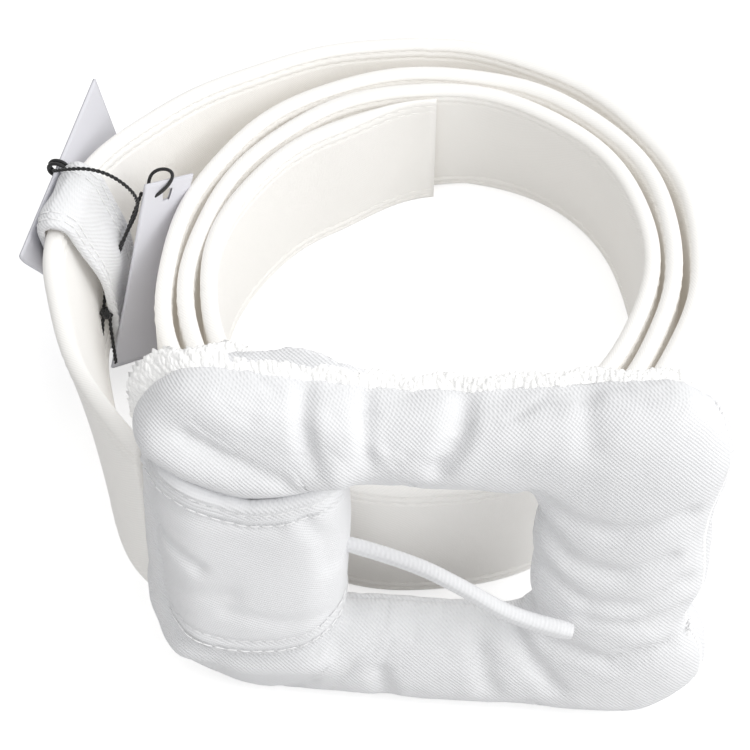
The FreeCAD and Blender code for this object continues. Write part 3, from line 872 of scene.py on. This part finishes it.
def fold_surface(count=170, levels=46):
    """Points and outward directions of the folded cloth, grooved at its stitches and creased."""
    ring = curve_through(FOLD_SECTION, count)
    grid = []
    for x, y in ring:
        top, low = fold_edges(x, y)
        share = np.linspace(0, 1, levels)
        z = low + (top - low) * share
        from_edge = np.minimum(z - low, top - z)
        puff = 0.7 * np.sin(np.pi * share) - 0.6 * bump_at(from_edge, FOLD_ROWS[0], 0.55)
        puff -= 0.6 * bump_at(from_edge, FOLD_ROWS[1], 0.6)
        puff += 0.35 * bump_at(from_edge, 3.5, 0.7)
        puff -= 1.1 * np.clip(1 - from_edge / 0.9, 0, 1) ** 2
        skew = (2.5 + 2.5 * (1 - share)) * (1 - smooth_step(x, -60, -44))
        grid.append(np.stack([x + skew, np.full(levels, y), z, puff], 1))
    grid = np.array(grid)
    tangent = np.gradient(ring, axis=0)
    normal = np.stack([-tangent[:, 1], tangent[:, 0]], 1) * -1
    normal /= np.linalg.norm(normal, axis=1)[:, None]
    if normal[count // 4] @ np.array([0, -1]) < 0:
        normal = -normal
    out = np.zeros((count, levels, 3))
    out[..., 0], out[..., 1] = normal[:, :1], normal[:, 1:]
    points = grid[..., :3] + out * grid[..., 3:]
    flat = points.reshape(-1, 3)
    drop = np.zeros(len(flat))
    front = smooth_step(-flat[:, 1], 0, 5)
    for line, width, depth in FOLD_CREASES:
        drop += near_line(flat[:, [0, 2]], line, width) * depth * front
    drop -= 0.5 * wobble(flat, 0.08, 21.0)
    points = (flat - out.reshape(-1, 3) * drop[:, None]).reshape(count, levels, 3)
    return points, out


def make_fold():
    points, out = fold_surface()
    count, levels = points.shape[:2]
    up = np.array([0, 0, 1.0])
    lips = []
    for inward, rise in ((2.4, -0.3), (1.6, 0.35), (0.7, 0.3)):
        low_lip = points[:, 0] - out[:, 0] * inward - up * rise
        lips.append((low_lip, points[:, -1] - out[:, -1] * inward + up * rise))
    sheet = np.concatenate([[p[0] for p in lips], points.transpose(1, 0, 2), [p[1] for p in reversed(lips)]])
    verts = sheet.transpose(1, 0, 2)
    obj = mesh_object("folded_end_cloth", verts.reshape(-1, 3), grid_faces(count, sheet.shape[0]))
    buckle_place(obj)
    dress(obj, FOLD, "buckle", "twill", "strap_fold")
    threads = []
    run = np.concatenate([[0], np.cumsum(np.linalg.norm(np.diff(points[:, levels // 2], axis=0), axis=1))])
    for inset in FOLD_ROWS:
        for s in np.arange(2.0, run[-1] - 2, 2.6):
            i = int(np.clip(np.searchsorted(run, s), 1, count - 2))
            for side in (0, 1):
                low, top = points[i, 0, 2], points[i, -1, 2]
                z = low + inset if side == 0 else top - inset
                column = points[i, :, 2]
                j = int(np.clip(np.searchsorted(column, z), 1, levels - 2))
                along = points[i + 1, j] - points[i - 1, j]
                place = points[i, j].copy()
                place[2] = z
                along /= np.linalg.norm(along)
                threads.append(stitch(place + out[i, j] * 0.05, along, out[i, j], 2.2, 0.15))
    for z in np.arange(27.0, 67.0, 2.6):
        i = 4
        threads.append(stitch(np.array([points[i, 20, 0], points[i, 20, 1], z]), up, out[i, 20], 2.0, 0.22))
    obj = join_parts("fold_topstitching", threads)
    buckle_place(obj)
    dress(obj, THREAD, "buckle", "thread", "fold_stitching")


make_fold()


def make_side_tack():
    """Hand stitches that close the side seam, and a knot of thread part of the way up."""
    side, flat, turn = COUNTS
    first, last = side + turn + flat + 12, side * 2 + turn * 2 + flat + 14
    stations = np.arange(first, last)
    columns = np.round(side_seam()[stations]).astype(int) % AROUND
    line = curve_through(cover_grid[stations, columns][::3], 76)
    out = curve_through(cover_normals[stations, columns][::3], 76)
    parts = []
    for k in range(2, 74):
        along = line[k + 1] - line[k - 1]
        along /= np.linalg.norm(along)
        across = np.cross(along, out[k])
        lean = along * 0.6 + across * 0.8
        parts.append(stitch(line[k] + out[k] * 0.25, lean / np.linalg.norm(lean), out[k], 1.8, 0.36))
    knot = line[int(np.argmin(np.abs(line[:, 2] - 28.0)))]
    for _ in range(10):
        along = RNG.normal(size=3)
        along /= np.linalg.norm(along)
        place = knot + RNG.normal(size=3) * 0.8 + np.array([0.5, -0.6, 0])
        parts.append(stitch(place, along, np.array([0.8, -0.6, 0]), 2.6, 0.3))
    obj = join_parts("side_seam_stitches", parts)
    buckle_place(obj)
    dress(obj, THREAD, "buckle", "thread", "side_tack")


make_side_tack()


# ---------- keeper loop
KEEPER_REACH, KEEPER_ROWS = 9.6, (1.8, 3.6)  # half its width and its rows of stitches, in degrees of the bend


def make_keeper():
    """Loose loop round the lead-in, leaning as the strap does."""
    centre, radius = np.array([-17.68, -8.87]), 65.0
    low, high = -6.2, 4.1  # its reach inward and outward of the strap's middle line
    ring = [(-1.6, low + 3.4), (-2.6, low + 4.6), (-2.8, 0.0), (-2.4, high - 2.5), (0.0, high - 0.6),
            (10.0, high), (22.0, high + 0.3), (34.0, high - 0.1), (40.5, high - 0.8), (42.6, high - 3.0),
            (43.0, 0.0),
            (42.5, low + 3.5), (40.0, low + 1.3), (32.0, low + 0.2), (22.0, low - 0.8), (13.0, low + 0.2),
            (5.0, low + 2.0), (0.2, low + 2.8)]
    loop = curve_through(ring + ring[:1], 150)[:-1]
    stations = np.linspace(-KEEPER_REACH, KEEPER_REACH, 34)
    tangent = np.roll(loop, -1, axis=0) - np.roll(loop, 1, axis=0)
    normal = np.stack([-tangent[:, 1], tangent[:, 0]], 1)
    normal /= np.linalg.norm(normal, axis=1)[:, None]
    if (normal * (loop - loop.mean(0))).sum() < 0:
        normal = -normal

    def place(wv, degrees):
        """wv is mm up the strap and outward of it; degrees go along the bend."""
        a = math.radians(166.0 + degrees)
        n = np.array([math.cos(a), math.sin(a)])
        lean = -LOWER_LEAN * (1 - wv[0] / WIDTH)
        p = centre + n * (radius + wv[1] + lean)
        z = CLIMB * (CLIMB_START - (centre + n * radius)[1]) + wv[0]
        return np.array([p[0], p[1], z]) + SHIFT

    def ring_at(degrees, outward):
        ring_points = []
        for k in range(len(loop)):
            wave = 0.35 * math.sin(degrees * 0.5 + k * 0.07) + 0.25 * math.sin(k * 0.19)
            ring_points.append(place(loop[k] + normal[k] * (outward + wave), degrees))
        return ring_points

    rows = []
    for degrees in stations:
        edge = KEEPER_REACH - abs(degrees)
        groove = -0.25 * sum(bump_at(edge, row, 0.5) for row in KEEPER_ROWS)
        rows.append(ring_at(degrees, 0.1 + groove - 0.5 * max(0, 1 - edge / 0.6)))
    for degrees in stations[::-1]:
        rows.append(ring_at(degrees * 0.98, -1.5))
    obj = mesh_object("keeper_loop_cloth", np.array(rows).reshape(-1, 3),
                      grid_faces(len(rows), len(loop), True, True))
    dress(obj, TWILL, "keeper", "twill", "keeper_loop")
    threads = []
    for degrees in [sign * (KEEPER_REACH - row) for row in KEEPER_ROWS for sign in (-1, 1)]:
        length = np.concatenate([[0], np.cumsum(np.linalg.norm(np.diff(loop, axis=0), axis=1))])
        for s in np.arange(1, length[-1], 3.1):
            k = int(np.clip(np.searchsorted(length, s), 1, len(loop) - 2))
            here = ring_at(degrees, 0.0)
            a, b = here[k - 1], here[k + 1]
            outer = np.array(ring_at(degrees, 1.0)[k]) - np.array(here[k])
            threads.append(stitch(np.array(here[k]), (b - a) / np.linalg.norm(b - a), outer, 2.5, 0.2))
    dress(join_parts("keeper_stitches", threads), THREAD, "keeper", "thread", "keeper_seam")


make_keeper()


# ---------- hang tags
def card(name, corner, along, side, down, height, curl, hole, body, node):
    """A thin card hung by one edge; the hole is a real one, and the sheet curls a little."""
    corner, along, down = (np.asarray(v, float) for v in (corner, along, down))
    along = along / np.linalg.norm(along)
    down = down - along * (down @ along)
    down /= np.linalg.norm(down)
    face = np.cross(along, down)
    columns, rows, ply = 45, 45, 0.3
    u, v = np.linspace(0, side, columns), np.linspace(0, height, rows)
    front, back, keep = [], [], []
    for b in v:
        for a in u:
            p = corner + along * a + down * b + face * curl(a / side, b / height)
            gap = np.array([a - side / 2, b - hole])
            far = np.linalg.norm(gap)
            keep.append(far > 1.2)
            if far < 1.9:
                p = p + (along * gap[0] + down * gap[1]) / max(far, 0.1) * (1.5 - far)
            front.append(p + face * ply)
            back.append(p - face * ply)
    count = rows * columns
    faces = []
    for face_ids in grid_faces(rows, columns):
        if all(keep[i] for i in face_ids):
            faces += [face_ids, tuple(i + count for i in reversed(face_ids))]
    rim = [i for i in range(columns)] + [columns * k - 1 for k in range(2, rows + 1)] \
        + [count - 2 - i for i in range(columns - 1)] + [columns * k for k in range(rows - 2, 0, -1)]
    for a, b in zip(rim, rim[1:] + rim[:1]):
        faces.append((a, b, b + count, a + count))
    obj = mesh_object(name, np.array(front + back), faces)
    return dress(obj, CARD, body, "card", node)


def large_curl(a, b):
    """Curls in along its near edge, and a little toward its lower edge."""
    return -1.0 * b - 4.6 * max(0.0, 1 - a / 0.2) ** 2 * float(smooth_step(b, 0.02, 0.16))


def small_curl(a, b):
    return 1.4 * math.sin(math.pi * b) * (a - 0.2)


CARD_HEIGHT, HOLE_INSET = 46.0, 3.5
card("large_card", (-77.6, 6.9, 51.5), (0.2507, 0.9681, 0.0), 53.0, (0.16, -0.04, -0.98), CARD_HEIGHT,
     large_curl, HOLE_INSET, "large_tag", "hang_tag_large")
card("small_card", np.array([-63.4, 12.9, 50.0]) + SHIFT, (0.612, 0.612, -0.5), 16.0,
     (-0.202, -0.491, -0.848), CARD_HEIGHT, small_curl, HOLE_INSET, "small_tag", "hang_tag_small")


# ---------- floor and light
def make_stage():
    bpy.ops.mesh.primitive_plane_add(size=6.0, location=(0, 0, 0))
    floor = bpy.context.object
    floor.name = "floor"
    white = plain("floor_white", (0.72, 0.72, 0.72), 0.9, specular=0.05)
    tree = white.node_tree
    seen = tree.nodes.new("ShaderNodeLightPath")
    glow = tree.nodes.new("ShaderNodeMath")
    glow.operation = "MULTIPLY"
    glow.inputs[1].default_value = 0.55
    tree.links.new(seen.outputs["Is Camera Ray"], glow.inputs[0])
    tree.nodes["Principled BSDF"].inputs["Emission Color"].default_value = (1, 1, 1, 1)
    tree.links.new(glow.outputs[0], tree.nodes["Principled BSDF"].inputs["Emission Strength"])
    floor.data.materials.append(white)


def make_light(name, place, size, watts, color=(1, 1, 1)):
    data = bpy.data.lights.new(name, "AREA")
    data.shape, data.size, data.energy, data.color = "DISK", size, watts, color
    lamp = bpy.data.objects.new(name, data)
    lamp.location = place
    lamp.rotation_mode = "QUATERNION"
    lamp.rotation_quaternion = (Vector((0, 0, 0.03)) - Vector(place)).to_track_quat("-Z", "Y")
    bpy.context.scene.collection.objects.link(lamp)


def make_world():
    """White surroundings, brighter from above and from the right."""
    world = bpy.data.worlds.new("Studio")
    world.use_nodes = True
    sky, links = world.node_tree.nodes, world.node_tree.links
    spread = sky.new("ShaderNodeTexCoord")
    split = sky.new("ShaderNodeSeparateXYZ")
    level = sky.new("ShaderNodeMapRange")
    links.new(spread.outputs["Generated"], split.inputs[0])
    tilt = sky.new("ShaderNodeMath")
    tilt.operation = "MULTIPLY_ADD"
    tilt.inputs[1].default_value = 0.9
    links.new(split.outputs["X"], tilt.inputs[0])
    links.new(split.outputs["Z"], tilt.inputs[2])
    links.new(tilt.outputs[0], level.inputs["Value"])
    level.inputs["From Min"].default_value = -0.9
    level.inputs["To Min"].default_value = 0.05
    level.inputs["To Max"].default_value = 1.12
    sky["Background"].inputs["Color"].default_value = (1, 1, 1, 1)
    links.new(level.outputs["Result"], sky["Background"].inputs["Strength"])
    bpy.context.scene.world = world


make_stage()
make_light("key", (0.9, -0.45, 0.95), 0.9, 5.5, (1.0, 0.998, 0.99))
make_world()
bpy.context.scene.view_settings.view_transform = "Standard"

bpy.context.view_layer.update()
